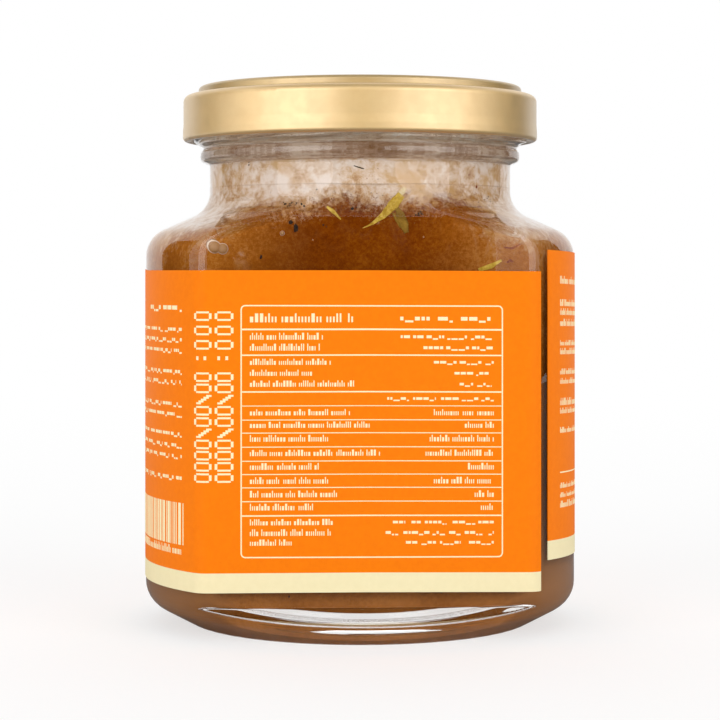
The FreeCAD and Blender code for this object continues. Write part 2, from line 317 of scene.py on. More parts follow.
def either_shader(share, first, second):
    """The material's surface: one shader, or another for a share of the light."""
    choice = nodes.new("ShaderNodeMixShader")
    links.new(share, choice.inputs["Fac"])
    links.new(first.outputs[0], choice.inputs[1])
    links.new(second.outputs[0], choice.inputs[2])
    links.new(choice.outputs["Shader"], nodes["Material Output"].inputs["Surface"])


clear_glass = start_finish("clear_glass", roughness=0.0)
body.inputs["Base Color"].default_value = (0.985, 0.99, 0.985, 1)
body.inputs["Transmission Weight"].default_value = 1.0
body.inputs["IOR"].default_value = 1.5
foot_waves = graded(own_axis("Z"), 0.0095, 0.006, 1.0, 4.0)
relief(worked_out("MULTIPLY", grain(60, 1), foot_waves), 0.25, 0.0002)
let_through = nodes.new("ShaderNodeBsdfTransparent")
let_through.inputs["Color"].default_value = (0.96, 0.965, 0.96, 1)
path = nodes.new("ShaderNodeLightPath")
either_shader(path.outputs["Is Shadow Ray"], body, let_through)
glass.data.materials.append(clear_glass)
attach(glass, "root")
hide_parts("glass_jar")


# Honey. Raw honey, clear dark amber at the flat panels and cloudy brown lower down, filled up
# to the shoulder. It wets the glass, so its skin lies just inside the wall. Its froth has the
# same pattern running on through it, so both take their colours from one group.

WETTING = 0.00025
HONEY_LEVEL = 0.0829
FROTH_LEVEL = 0.0903
FROTH_FOOT = 0.0835


def between(outline, low, high):
    """The part of an upward outline between two heights."""
    part = []
    for last, following in zip(outline, outline[1:]):
        for level in (low, high):
            if last.y < level < following.y:
                part.append(last.lerp(following, (level - last.y) / (following.y - last.y)))
        if low <= following.y <= high:
            part.append(following)
    return part


wetted = along_bore(WETTING)
honey_outline = [wetted[0]] + between(wetted, 0.0, HONEY_LEVEL)
honey_edge = honey_outline[-1].x
honey_outline += [Vector((honey_edge * k / 20, HONEY_LEVEL)) for k in range(19, -1, -1)]
honey = spun_piece("honey_fill", honey_outline, TURN_STEPS)
press_panels(honey, PANEL_DISTANCE - WALL + WETTING)

contents = bpy.data.node_groups.new("honey_and_froth", "ShaderNodeTree")
for name, way, kind in (("Froth Foot", "INPUT", "Float"), ("Color", "OUTPUT", "Color"),
                        ("Froth", "OUTPUT", "Float"), ("Height", "OUTPUT", "Float")):
    contents.interface.new_socket(name, in_out=way, socket_type="NodeSocket" + kind)
nodes, links = contents.nodes, contents.links
given, shown = nodes.new("NodeGroupInput"), nodes.new("NodeGroupOutput")


def colours(value, stops):
    """A colour ramp of (position, colour) stops."""
    ramp = nodes.new("ShaderNodeValToRGB")
    ends = ramp.color_ramp.elements
    while len(ends) < len(stops):
        ends.new(0.5)
    for end, (position, colour) in zip(ends, stops):
        end.position = position
        end.color = (*colour, 1)
    links.new(value, ramp.inputs["Fac"])
    return ramp.outputs["Color"]


def mixed(share, first, second, blend="MIX"):
    """One colour over another."""
    step = nodes.new("ShaderNodeMix")
    step.data_type = "RGBA"
    step.blend_type = blend
    for name, value in (("Factor_Float", share), ("A_Color", first), ("B_Color", second)):
        socket = next(i for i in step.inputs if i.identifier == name)
        if isinstance(value, bpy.types.NodeSocket):
            links.new(value, socket)
        else:
            socket.default_value = value
    return next(o for o in step.outputs if o.identifier == "Result_Color")


# Where the froth begins: lower at the sides, with a clouded edge and wisps hanging from it.
aside, height = worked_out("ABSOLUTE", own_axis("X")), own_axis("Z")
hang = graded(aside, 0.017, 0.031, 0.0, -0.0075)
above = worked_out("SUBTRACT", height, worked_out("ADD", given.outputs["Froth Foot"], hang))
clouds = worked_out("MULTIPLY", worked_out("SUBTRACT", grain(85, 4, 0.6), 0.5), 0.013)
grains = worked_out("MULTIPLY", worked_out("SUBTRACT", grain(1100, 5, 0.8), 0.5), 0.016)
lift = worked_out("ADD", above, worked_out("ADD", clouds, grains))
froth_share = graded(lift, -0.0022, 0.0026)
streaks = graded(grain(230, 6, 0.72, 0.6, (1, 1, 0.7)), 0.50, 0.70)
wisps = worked_out("MULTIPLY", streaks, graded(above, -0.012, 0.0005))
wisps = worked_out("MULTIPLY", wisps, graded(aside, 0.010, 0.026, 0.12, 0.95))
froth_share = worked_out("MAXIMUM", froth_share, wisps)

# Froth: brown to pale in blotches, ochre in patches and orange along its foot.
patches = graded(grain(110, 3, 0.5), 0.35, 0.7, -0.07, 0.06)
blotches = worked_out("ADD", grain(420, 8, 0.72, 0.3), patches)
blotches = worked_out("ADD", blotches, graded(above, 0.0, 0.0045, -0.09, 0.03))
froth_colour = colours(blotches, [
    (0.33, (0.40, 0.21, 0.09)), (0.42, (0.56, 0.37, 0.22)),
    (0.50, (0.66, 0.51, 0.39)), (0.60, (0.74, 0.63, 0.55))])
ochre_share = graded(grain(75, 5, 0.65, 0.4), 0.50, 0.66, 0.0, 0.8)
froth_colour = mixed(ochre_share, froth_colour, (0.53, 0.30, 0.095, 1))
orange_share = graded(above, 0.0025, -0.0005, 0.0, 0.6)
froth_colour = mixed(orange_share, froth_colour, (0.42, 0.19, 0.05, 1))

# Honey: clear in the middle, paler at the sides and cloudy low down. Its foot and low sides
# are painted paler still, a painted glow for light scattered through the honey.
motes = graded(grain(1600, 5, 0.8), 0.3, 0.7, -0.16, 0.16)
clear_honey = colours(worked_out("ADD", grain(60, 5, 0.6), motes), [
    (0.30, (0.115, 0.020, 0.0005)), (0.50, (0.170, 0.036, 0.0009)), (0.72, (0.25, 0.066, 0.003))])
pale_honey = colours(worked_out("ADD", grain(90, 5, 0.6), motes), [
    (0.30, (0.25, 0.071, 0.005)), (0.50, (0.32, 0.102, 0.010)), (0.72, (0.44, 0.18, 0.040))])
cloudy_honey = colours(worked_out("ADD", grain(80, 5, 0.6), motes), [
    (0.30, (0.160, 0.048, 0.006)), (0.70, (0.235, 0.082, 0.014))])
# Painted glow: a paler foot, for light scattered up through the honey near the floor.
foot_painted_glow = colours(worked_out("ADD", grain(110, 5, 0.6), motes), [
    (0.30, (0.22, 0.073, 0.013)), (0.70, (0.31, 0.113, 0.025))])
honey_and_painted_glow = mixed(graded(aside, 0.006, 0.032), clear_honey, pale_honey)
honey_and_painted_glow = mixed(graded(height, 0.064, 0.030), honey_and_painted_glow, cloudy_honey)
honey_and_painted_glow = mixed(graded(height, 0.0115, 0.0065), honey_and_painted_glow, foot_painted_glow)
# Painted glow: paler low sides, for light scattered through the honey behind the glass.
low_side_painted_glow = worked_out("MULTIPLY", graded(aside, 0.022, 0.038), graded(height, 0.030, 0.012))
honey_and_painted_glow = mixed(low_side_painted_glow, honey_and_painted_glow, (0.31, 0.138, 0.052, 1))

links.new(mixed(froth_share, honey_and_painted_glow, froth_colour), shown.inputs["Color"])
links.new(froth_share, shown.inputs["Froth"])
links.new(worked_out("MULTIPLY", froth_share, grain(1500, 3, 0.7)), shown.inputs["Height"])


def contents_pattern():
    """The shared pattern of honey and froth, placed in the material being made."""
    pattern = nodes.new("ShaderNodeGroup")
    pattern.node_tree = contents
    pattern.inputs["Froth Foot"].default_value = FROTH_FOOT
    return pattern.outputs


honey_finish = start_finish("honey", roughness=0.4, specular=0.0)
pattern = contents_pattern()
links.new(pattern["Color"], body.inputs["Base Color"])
relief(pattern["Height"], 0.5, 0.0003)
honey.data.materials.append(honey_finish)
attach(honey, "root")
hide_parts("honey")


# Froth. Fine pale bubbles and wax that rose to the top of the honey, with a lumpy top. A thin
# film of it is left on the glass above, up to the rim.

LAP = 0.0002
LUMPS = 0.0006
FILM = 0.00015
FILM_FOOT = 0.0880
FILM_TOP = RIM - 0.0005
BORE_SKIN = BORE_RADIUS + 0.0003

froth_outline = between(wetted, HONEY_LEVEL - LAP, FROTH_LEVEL)
foot_edge, top_edge = froth_outline[0], froth_outline[-1].x
froth_outline = [Vector((foot_edge.x * k / 20, foot_edge.y)) for k in range(20)] + froth_outline
froth_outline += [Vector((top_edge * k / 40, FROTH_LEVEL)) for k in range(39, -1, -1)]
froth = spun_piece("froth_layer", froth_outline, TURN_STEPS)
press_panels(froth, PANEL_DISTANCE - WALL + WETTING)
for v in froth.data.vertices:
    if v.co.z > FROTH_LEVEL - 0.0004:
        v.co.z += LUMPS * (noise.noise(v.co * 260) + 0.5 * noise.noise(v.co * 700) - 1)

film_outline = [Vector((BORE_SKIN, FILM_FOOT + (FILM_TOP - FILM_FOOT) * k / 50)) for k in range(51)]
film_outline += [Vector((BORE_RADIUS - FILM, p.y)) for p in reversed(film_outline)]
film = spun_piece("froth_film", film_outline, TURN_STEPS, closed=True)

froth_finish = start_finish("honey_froth", roughness=0.6, specular=0.0)
pattern = contents_pattern()
links.new(pattern["Color"], body.inputs["Base Color"])
relief(pattern["Height"], 0.6, 0.0004)

film_finish = start_finish("froth_film", roughness=0.6, specular=0.0)
pattern = contents_pattern()
height = own_axis("Z")
smearing = worked_out("ADD", grain(120, 6, 0.7, 0.0, (1, 1, 6)),
                      graded(grain(900, 4, 0.7), 0.3, 0.7, -0.06, 0.06))
low_smears = colours(smearing, [
    (0.34, (0.22, 0.11, 0.05)), (0.50, (0.36, 0.23, 0.15)), (0.62, (0.54, 0.41, 0.31))])
# Painted light: the smears under the cap are made paler to make up for the shade the cap casts on
# them.
smears_painted_light_under_cap = colours(smearing, [
    (0.34, (0.60, 0.38, 0.22)), (0.50, (0.88, 0.69, 0.50)), (0.62, (0.95, 0.84, 0.70))])
smears_and_painted_light = mixed(graded(height, 0.0955, 0.0975), low_smears, smears_painted_light_under_cap)
drained = graded(height, 0.0920, 0.0945)
links.new(mixed(drained, pattern["Color"], smears_and_painted_light), body.inputs["Base Color"])
for piece, finish in ((froth, froth_finish), (film, film_finish)):
    piece.data.materials.append(finish)
    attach(piece, "root")
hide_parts("froth")


# Bits in the honey. Petals, a leaf and stalk, seeds and spice specks that came in with the
# raw honey and lie against the glass, and a few air bubbles.

LEAF_OFF_SKIN = 0.00008
SPECK_DEPTH = 0.22
BUBBLE_SUNK = 0.55


def against_glass(x, z, out=0.0):
    """A place on the skin of the contents at the front, or on the bore above them, or that
    far out from it."""
    for piece in (froth, honey):
        found, spot, normal = piece.ray_cast(Vector((x, -0.06, z)), Vector((0, 1, 0)))[:3]
        if found and abs(spot.z - z) < 1e-6:
            return spot + normal * out
    return Vector((x, -math.sqrt((BORE_SKIN + out) ** 2 - x * x), z))


def petal(name, spine, widths, thickness, curl=0.0):
    """A thin tapering leaf laid along a line of (x, height) points, in millimetres."""
    bpy.ops.object.select_all(action="DESELECT")
    bpy.ops.mesh.primitive_grid_add(x_subdivisions=24, y_subdivisions=6, size=2)
    leaf = bpy.context.object
    leaf.name = name
    points = [Vector(p) / 1000 for p in spine]
    for v in leaf.data.vertices:
        along = (v.co.x + 1) / 2 * (len(points) - 1)
        k = min(int(along), len(points) - 2)
        part = along - k
        middle = points[k].lerp(points[k + 1], part)
        run = (points[k + 1] - points[k]).normalized()
        wide = (widths[k] * (1 - part) + widths[k + 1] * part) / 1000
        across = v.co.y * wide * (1 + 0.12 * noise.noise(Vector((along * 4, v.co.y, 1))))
        spot = middle + Vector((-run.y, run.x)) * across
        ridge = LEAF_OFF_SKIN + curl * abs(v.co.y) * (0.7 + 0.3 * math.sin(along * 9))
        v.co = against_glass(spot.x, spot.y, ridge)
    thick = leaf.modifiers.new("thickness", "SOLIDIFY")
    thick.thickness = thickness
    bpy.context.view_layer.objects.active = leaf
    bpy.ops.object.modifier_apply(modifier="thickness")
    bpy.ops.object.shade_smooth()
    return leaf


def joined(pieces, name):
    """Pieces of one kind made into one."""
    bpy.ops.object.select_all(action="DESELECT")
    for piece in pieces:
        piece.select_set(True)
    bpy.context.view_layer.objects.active = pieces[0]
    bpy.ops.object.join()
    pieces[0].name = name
    pieces[0].data.name = name
    return pieces[0]


def plant_finish(name, dark, light, scale):
    """Dry plant matter with fine veins."""
    finish = start_finish(name, roughness=0.55, specular=0.1)
    veins = colours(grain(scale, 5, 0.7, 0.5), [(0.38, dark), (0.62, light)])
    links.new(veins, body.inputs["Base Color"])
    return finish


petals = joined([
    petal("petal_main", [(6.4, 86.0), (4.9, 84.2), (3.0, 82.0), (0.8, 80.3)],
          [0.8, 1.0, 0.65, 0.2], 0.0002, 0.0001),
    petal("petal_stalk", [(0.9, 80.4), (0.0, 79.9), (-1.0, 79.5)], [0.22, 0.13, 0.06], 0.00012),
    petal("petal_left", [(-7.9, 83.7), (-6.8, 82.9), (-5.2, 81.2)], [0.2, 0.4, 0.12], 0.00015),
    petal("petal_low", [(21.5, 71.4), (23.8, 72.1), (26.0, 73.3)], [0.35, 0.5, 0.2], 0.0002),
], "petals")
petals.data.materials.append(
    plant_finish("petal_yellow", (0.38, 0.22, 0.012), (0.66, 0.46, 0.08), 700))
pale_petal = petal("pale_petal", [(7.0, 87.4), (6.5, 86.5), (5.5, 85.3), (4.4, 84.2)],
                   [0.3, 0.55, 0.6, 0.2], 0.0002)
pale_petal.data.materials.append(
    plant_finish("petal_pale", (0.60, 0.45, 0.22), (0.76, 0.66, 0.44), 500))
leaves = joined([
    petal("leaf_front", [(5.6, 83.6), (6.3, 82.2), (7.0, 80.2), (7.5, 78.6)],
          [0.3, 0.8, 0.9, 0.4], 0.0002, 0.0001),
    petal("leaf_back", [(4.9, 82.5), (5.7, 81.2), (6.4, 79.6)], [0.2, 0.45, 0.2], 0.0002),
], "leaves")
leaves.data.materials.append(
    plant_finish("leaf_olive", (0.16, 0.075, 0.006), (0.30, 0.17, 0.02), 500))

scatter = random.Random(11)


def speck(x, z, size, tall=1.0, lean=0.0):
    """One irregular grain, in millimetres, sunk half into the skin of the contents."""
    bpy.ops.object.select_all(action="DESELECT")
    bpy.ops.mesh.primitive_ico_sphere_add(subdivisions=2, radius=1)
    lump = bpy.context.object
    middle = against_glass(x / 1000, z / 1000)
    rough = Vector((x, z, 3))
    for v in lump.data.vertices:
        bulge = 1 + 0.35 * noise.noise(v.co * 1.7 + rough)
        across, up = v.co.x * size * bulge, v.co.z * size * tall * bulge
        tilt = math.radians(lean)
        v.co = middle + Vector((across * math.cos(tilt) + up * math.sin(tilt),
                                v.co.y * SPECK_DEPTH,
                                up * math.cos(tilt) - across * math.sin(tilt))) / 1000
    bpy.ops.object.shade_smooth()
    return lump


black = [speck(-14.9, 80.6, 0.42, 1.0, 20), speck(-13.9, 79.5, 0.45, 1.9, 8),
         speck(-22.1, 92.7, 0.17), speck(-22.1, 92.1, 0.18), speck(-9.6, 86.9, 0.14),
         speck(-3.0, 83.4, 0.36, 0.8, 30), speck(-2.2, 83.6, 0.12),
         speck(-20.6, 73.9, 0.22, 2.1, 18), speck(-8.6, 80.1, 0.17), speck(-8.0, 79.8, 0.10)]
for count, x, z, wide, tall, least, most in ((16, -14.6, 83.5, 0.75, 0.38, 0.08, 0.2),
                                             (14, 9.6, 82.2, 1.1, 0.3, 0.07, 0.19),
                                             (10, 22.5, 84.4, 1.3, 0.5, 0.06, 0.15)):
    for k in range(count):
        black.append(speck(x + scatter.gauss(0, wide), z + scatter.gauss(0, tall),
                           scatter.uniform(least, most)))
for k in range(26):
    black.append(speck(scatter.uniform(-19, 3), scatter.uniform(81.5, 86.5),
                       scatter.uniform(0.04, 0.09)))
black += [speck(-15.2, 8.4, 0.13, 1.8, 12), speck(14.3, 8.9, 0.1),
          petal("twig", [(-2.7, 91.5), (-1.9, 91.2), (-0.8, 90.9)], [0.07, 0.1, 0.07], 0.0001)]
specks = joined(black, "spice_specks")
specks.data.materials.append(
    plant_finish("spice_black", (0.012, 0.007, 0.005), (0.06, 0.035, 0.02), 900))

red = [speck(21.1, 87.8, 0.25, 1.5, 5), speck(19.6, 90.1, 0.14), speck(1.3, 82.4, 0.18),
       speck(23.9, 89.7, 0.13), speck(15.0, 89.2, 0.1), speck(26.0, 87.0, 0.12),
       petal("curl", [(26.5, 75.8), (28.0, 75.6), (29.6, 76.4)], [0.12, 0.22, 0.12], 0.00015),
       petal("curl_low", [(27.0, 72.8), (27.6, 73.3), (28.2, 73.0)], [0.15, 0.24, 0.12], 0.00015)]
for k in range(30):
    red.append(speck(scatter.uniform(-22, 26), scatter.uniform(83.5, 92.4),
                     scatter.uniform(0.04, 0.10)))
red_specks = joined(red, "red_specks")
red_specks.data.materials.append(
    plant_finish("spice_red", (0.16, 0.025, 0.008), (0.32, 0.09, 0.03), 900))

bubbles = []
for x, z, size in ((-29.8, 76.0, 1.45), (-28.0, 75.5, 1.3), (-16.5, 78.5, 0.55),
                   (10.8, 77.8, 0.2), (-10.6, 77.2, 0.16), (-12.6, 81.4, 0.25)):
    bpy.ops.object.select_all(action="DESELECT")
    bpy.ops.mesh.primitive_uv_sphere_add(segments=32, ring_count=16, radius=size / 1000)
    bubble = bpy.context.object
    middle = against_glass(x / 1000, z / 1000, -BUBBLE_SUNK * size / 1000)
    for v in bubble.data.vertices:
        v.co += middle
    bpy.ops.object.shade_smooth()
    bubbles.append(bubble)
air = joined(bubbles, "air_bubbles")
bubble_painted_light_finish = start_finish("air_bubble", roughness=0.12, specular=0.3)
# The bubbles' colour is painted light: a pale ring for the highlight on each bubble and a dark rim
# for its shade, graded by how far the skin turns from view.
bubble_painted_ring = nodes.new("ShaderNodeLayerWeight")
bubble_painted_ring.inputs["Blend"].default_value = 0.5
links.new(colours(bubble_painted_ring.outputs["Facing"], [
    (0.10, (0.36, 0.19, 0.08)), (0.32, (0.33, 0.16, 0.06)), (0.42, (0.78, 0.66, 0.56)),
    (0.55, (0.50, 0.34, 0.22)), (0.75, (0.22, 0.09, 0.025))]), body.inputs["Base Color"])
air.data.materials.append(bubble_painted_light_finish)
for piece in (petals, pale_petal, leaves, specks, red_specks, air):
    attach(piece, "root")


# Cap. A twist-off cap of tinplate, drawn with a raised middle, its edge curled under and
# lacquered satin gold outside. Four lugs on the curl hold it to the threads.

INSIDE_RADIUS = 0.0357
INSIDE_TOP = 0.1058
RAISED_EDGE = 0.0321
RAISED_TOP = 0.1072

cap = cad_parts["twist_cap"]
gold = start_finish("gold_lacquer")
body.inputs["Metallic"].default_value = 1.0
body.inputs["Coat Weight"].default_value = 1.0
body.inputs["Coat IOR"].default_value = 1.8
body.inputs["Coat Roughness"].default_value = 0.33
height = own_axis("Z")
radius = worked_out("SQRT", worked_out("ADD", worked_out("POWER", own_axis("X"), 2.0),
                                       worked_out("POWER", own_axis("Y"), 2.0)))
inside = worked_out("MULTIPLY", worked_out("LESS_THAN", radius, INSIDE_RADIUS),
                    worked_out("LESS_THAN", height, INSIDE_TOP))
# Painted shade: the side of the raised middle is coloured darker, for the shade it lies in.
raised_side_painted_shade = worked_out("MULTIPLY", worked_out("GREATER_THAN", radius, RAISED_EDGE),
                        worked_out("GREATER_THAN", height, RAISED_TOP))
lacquer_and_painted_shade = colours(grain(150, 4, 0.6), [(0.3, (0.79, 0.555, 0.245)), (0.7, (0.84, 0.60, 0.275))])
lacquer_and_painted_shade = mixed(raised_side_painted_shade, lacquer_and_painted_shade, (0.58, 0.41, 0.17, 1))
links.new(mixed(inside, lacquer_and_painted_shade, (0.72, 0.66, 0.55, 1)), body.inputs["Base Color"])
links.new(graded(grain(500, 3), 0.3, 0.7, 0.55, 0.62), body.inputs["Roughness"])
relief(grain(1800, 3, 0.6), 0.12, 0.00005)
cap.data.materials.clear()
cap.data.materials.append(gold)


# Label. A strip of paper printed orange with a cream stripe along its foot, stuck round the
# body. It starts at the front right corner, runs round the back and climbs a little there.

LABEL_FOOT = 0.0094
LABEL_HEIGHT = 0.06195
STRIPE = 0.0038
PAPER = 0.00015
PASTE = 0.00002
ROWS = 16
CORNER = 0.0035
CORNER_MIDDLE = math.sqrt((BODY_RADIUS - CORNER) ** 2 - (PANEL_DISTANCE - CORNER) ** 2)
CORNER_TURN = math.atan2(CORNER_MIDDLE, PANEL_DISTANCE - CORNER)
ROUND_START = CORNER_MIDDLE + CORNER * CORNER_TURN
QUARTER = ROUND_START + BODY_RADIUS * (math.pi / 2 - CORNER_TURN)
FIRST_EDGE = ROUND_START + BODY_RADIUS * (math.radians(49.9) - CORNER_TURN)
SECOND_EDGE = ROUND_START + BODY_RADIUS * (math.radians(53.3) - CORNER_TURN) - 4 * QUARTER
CLIMB_START = -(ROUND_START + BODY_RADIUS * (math.radians(80) - CORNER_TURN))
CLIMB = 0.0055
CLIMB_LOST_AT_TOP = 0.0015
DIP = 0.0002


def round_the_jar(along, height, out):
    """A point of the label: along it from the middle of the front, above its foot, and out
    from the glass. The flat, the corner and the round of the body follow one another."""
    rise = -DIP * max(along, 0) / FIRST_EDGE
    climb = max(CLIMB_START - along, 0) / (CLIMB_START - SECOND_EDGE)
    rise += climb * (CLIMB - CLIMB_LOST_AT_TOP * height / LABEL_HEIGHT)
    turned = (along + 2 * QUARTER) % (4 * QUARTER) - 2 * QUARTER
    side = math.copysign(1, turned)
    turned = abs(turned)
    front = -1
    if turned > QUARTER:
        turned, front = 2 * QUARTER - turned, 1
    if turned < CORNER_MIDDLE:
        spot, facing = Vector((turned, PANEL_DISTANCE)), Vector((0, 1))
    elif turned < ROUND_START:
        turn = (turned - CORNER_MIDDLE) / CORNER
        facing = Vector((math.sin(turn), math.cos(turn)))
        spot = Vector((CORNER_MIDDLE, PANEL_DISTANCE - CORNER)) + facing * CORNER
    else:
        turn = CORNER_TURN + (turned - ROUND_START) / BODY_RADIUS
        facing = Vector((math.sin(turn), math.cos(turn)))
        spot = facing * BODY_RADIUS
    spot += facing * out
    return Vector((side * spot.x, front * spot.y, LABEL_FOOT + height + rise))


bpy.ops.object.select_all(action="DESELECT")
bpy.ops.mesh.primitive_grid_add(x_subdivisions=440, y_subdivisions=ROWS, size=2)
label = bpy.context.object
label.name = "label_strip"
for face in label.data.polygons:
    face.material_index = 1 if face.center.y < 2 / ROWS - 1 else 0
for v in label.data.vertices:
    row = round((v.co.y + 1) * ROWS / 2)
    height = STRIPE * min(row, 1) + (LABEL_HEIGHT - STRIPE) * max(row - 1, 0) / (ROWS - 1)
    along = SECOND_EDGE + (FIRST_EDGE - SECOND_EDGE) * (v.co.x + 1) / 2
    v.co = round_the_jar(along, height, PASTE)
thick = label.modifiers.new("paper", "SOLIDIFY")
thick.thickness = PAPER
thick.offset = 1
thick.material_offset_rim = 2
bpy.ops.object.modifier_apply(modifier="paper")
bpy.ops.object.shade_smooth_by_angle(angle=math.radians(40))


def printed_paper(name, colour, shade):
    """Ink on coated paper, with the faint grain of the paper under it."""
    finish = start_finish(name, roughness=0.5, specular=0.06)
    ink_grain = colours(grain(900, 4, 0.6), [(0.35, shade), (0.65, colour)])
    links.new(ink_grain, body.inputs["Base Color"])
    relief(grain(2500, 2), 0.06, 0.00005)
    return finish


for name, colour, shade in (("orange_ink", (0.90, 0.205, 0.0025), (0.87, 0.19, 0.0025)),
                            ("cream_ink", (0.86, 0.77, 0.48), (0.84, 0.75, 0.46)),
                            ("paper_edge", (0.85, 0.82, 0.76), (0.80, 0.77, 0.70))):
    label.data.materials.append(printed_paper(name, colour, shade))
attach(label, "root")
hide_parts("label")


# Print. The strip's lettering is left plain: rows of small cream strokes stand for it, with a
# ruled box in front, a stamped date place left of it, a block of rows on each side and a bar
# code. All of it is one thin layer of ink on the paper.

INK = 0.00005
INK_UNDER = PAPER - 0.00001
STROKE = 0.2
BOLD = 1.6
press = random.Random(5)
bpy.context.tool_settings.mesh_select_mode = (False, False, True)


def flat_marks(columns, levels, place, kept):
    """Cells in columns and levels, some of them kept. The place is (left, foot, width,
    height), in millimetres, and the levels are shares of that height."""
    bpy.ops.object.select_all(action="DESELECT")
    bpy.ops.mesh.primitive_grid_add(x_subdivisions=columns, y_subdivisions=len(levels) - 1, size=2)
    marks = bpy.context.object
    for face in marks.data.polygons:
        column = int((face.center.x + 1) / 2 * columns)
        level = int((face.center.y + 1) / 2 * (len(levels) - 1))
        face.select = (column, level) not in kept
    bpy.ops.object.mode_set(mode="EDIT")
    bpy.ops.mesh.delete(type="FACE")
    bpy.ops.object.mode_set(mode="OBJECT")
    left, foot, width, height = place
    for v in marks.data.vertices:
        level = round((v.co.y + 1) / 2 * (len(levels) - 1))
        v.co = (left + (v.co.x + 1) / 2 * width, foot + levels[level] * height, 0)
    return marks


def row_of_strokes(left, width, middle, tall, bold=False, dashes=False):
    """A row of short upright strokes, or of dashes, in groups as long as words."""
    columns = max(4, round(width / STROKE / (BOLD if bold else 1)))
    kept = set()
    column = 0
    while column < columns:
        end = min(column + press.randint(9, 26), columns)
        while column < end:
            if dashes:
                run, level = press.randint(2, 6), press.choice((1, 2, 2))
                filled = (level,)
            else:
                run = press.choice((1, 1, 2))
                filled = range(1, press.choice((3, 3, 5)))
            kept.update((k, level) for k in range(column, min(column + run, end))
                        for level in filled)
            column += run + 1
        column += 2
    return flat_marks(columns, (0, 0.08, 0.3, 0.7, 0.8, 1.05),
                      (left, middle - tall / 2, width, tall), kept)


def plain_bar(left, foot, width, height):
    """A rule or a bar, in cells of about 2 mm so that it can follow the round glass."""
    columns = max(1, round(width / 2))
    return flat_marks(columns, (0, 1), (left, foot, width, height),
                      {(k, 0) for k in range(columns)})


BOX_LEFT, BOX_RIGHT, BOX_FOOT, BOX_TOP = -24.55, 26.05, 6.7, 55.3
FRAME = 0.25
RULE_GAP = 0.28
MARGIN = 1.8
ink = []
bpy.ops.object.select_all(action="DESELECT")
bpy.ops.mesh.primitive_plane_add(size=2)
box = bpy.context.object
for v in box.data.vertices:
    v.co = ((BOX_LEFT + BOX_RIGHT) / 2 + v.co.x * (BOX_RIGHT - BOX_LEFT) / 2,
            (BOX_FOOT + BOX_TOP) / 2 + v.co.y * (BOX_TOP - BOX_FOOT) / 2, 0)
bpy.ops.object.mode_set(mode="EDIT")
bpy.ops.mesh.bevel(offset=0.9, segments=4, affect="VERTICES")
bpy.ops.mesh.inset(thickness=FRAME)
bpy.ops.mesh.delete(type="ONLY_FACE")
bpy.ops.object.mode_set(mode="OBJECT")
ink.append(box)

for height, thick_rule in ((50.6, 0.32), (45.65, 0.26), (38.6, 0.26), (35.9, 0.15), (33.2, 0.17),
                           (30.7, 0.17), (28.0, 0.17), (25.3, 0.17), (22.75, 0.17), (20.2, 0.17),
                           (17.55, 0.17), (14.8, 0.26)):
    ink.append(plain_bar(BOX_LEFT + RULE_GAP, height - thick_rule / 2,
                         BOX_RIGHT - BOX_LEFT - 2 * RULE_GAP, thick_rule))

for height, tall, left_length, right_length in (
        (52.7, 1.75, 19.8, 18.1), (49.2, 1.35, 14.0, 18.0), (47.1, 1.35, 13.4, 13.6),
        (44.3, 1.2, 15.5, 11.6), (42.2, 1.2, 11.9, 7.6), (40.1, 1.2, 20.2, 6.6),
        (37.3, 1.2, 0, 20.6), (34.6, 1.2, 19.4, 11.6), (32.2, 1.2, 23.4, 5.6),
        (29.6, 1.3, 15.0, 12.4), (26.8, 1.2, 25.2, 13.2), (24.2, 1.3, 13.4, 5.0),
        (21.5, 1.3, 15.2, 11.6), (18.9, 1.3, 16.9, 3.7), (16.4, 1.3, 12.3, 2.5),
        (13.5, 1.2, 16.1, 19.5), (11.5, 1.3, 15.5, 20.9), (9.6, 1.2, 8.4, 17.0)):
    heading = tall > 1.5
    if left_length:
        ink.append(row_of_strokes(BOX_LEFT + MARGIN, left_length, height, tall, heading))
    ink.append(row_of_strokes(BOX_RIGHT - MARGIN - right_length, right_length, height, tall,
                              heading, heading or height > 37 or height < 14))

RING = {(a, b) for a in range(7) for b in range(5) if (a in (0, 6)) != (b in (0, 4))}
SLANT = {(a, b) for a in range(7) for b in range(5) if a - 1 in (b, b + 1)}
TWO_DOTS = {(1, 2), (1, 3), (4, 2), (4, 3)}
OTHER_MARKS = {4: SLANT, 7: SLANT, 10: TWO_DOTS}
for left, tall in ((-33.6, 3.5), (-29.5, 3.6)):
    for cell in range(14):
        foot = 21.2 + cell * 2.15 if cell < 10 else 44.0 + (cell - 10) * 2.75
        ink.append(flat_marks(7, [k / 5 for k in range(6)], (left, foot, tall, 1.8),
                              OTHER_MARKS.get(cell, RING)))

SIDE_BLOCK = -37.6
SECOND_BLOCK = SECOND_EDGE * 1000 + 5.6
for height, tall in ((54.7, 2.0), (50.5, 1.5), (48.5, 1.5), (46.4, 1.5), (42.3, 1.5), (40.3, 1.5),
                     (36.0, 1.5), (34.0, 1.5), (30.2, 1.5), (28.0, 1.5), (25.9, 1.5), (21.7, 1.6)):
    length = press.uniform(14, 18) if tall > 1.9 else press.uniform(30, 38)
    ink.append(row_of_strokes(SIDE_BLOCK - length, length, height, tall, tall > 1.9, True))
for height, tall in ((56.0, 1.6), (51.4, 1.4), (49.6, 1.4), (47.4, 1.5), (43.3, 1.1), (41.6, 1.3),
                     (37.5, 1.2), (35.6, 1.2), (31.4, 1.5), (29.6, 1.2), (25.7, 1.2), (14.5, 1.1),
                     (12.6, 1.0), (10.7, 1.4)):
    length = press.uniform(30, 38)
    ink.append(row_of_strokes(SECOND_BLOCK, length, height, tall, tall > 1.55))
ink.append(plain_bar(SECOND_BLOCK, 17.1, 34, 0.25))

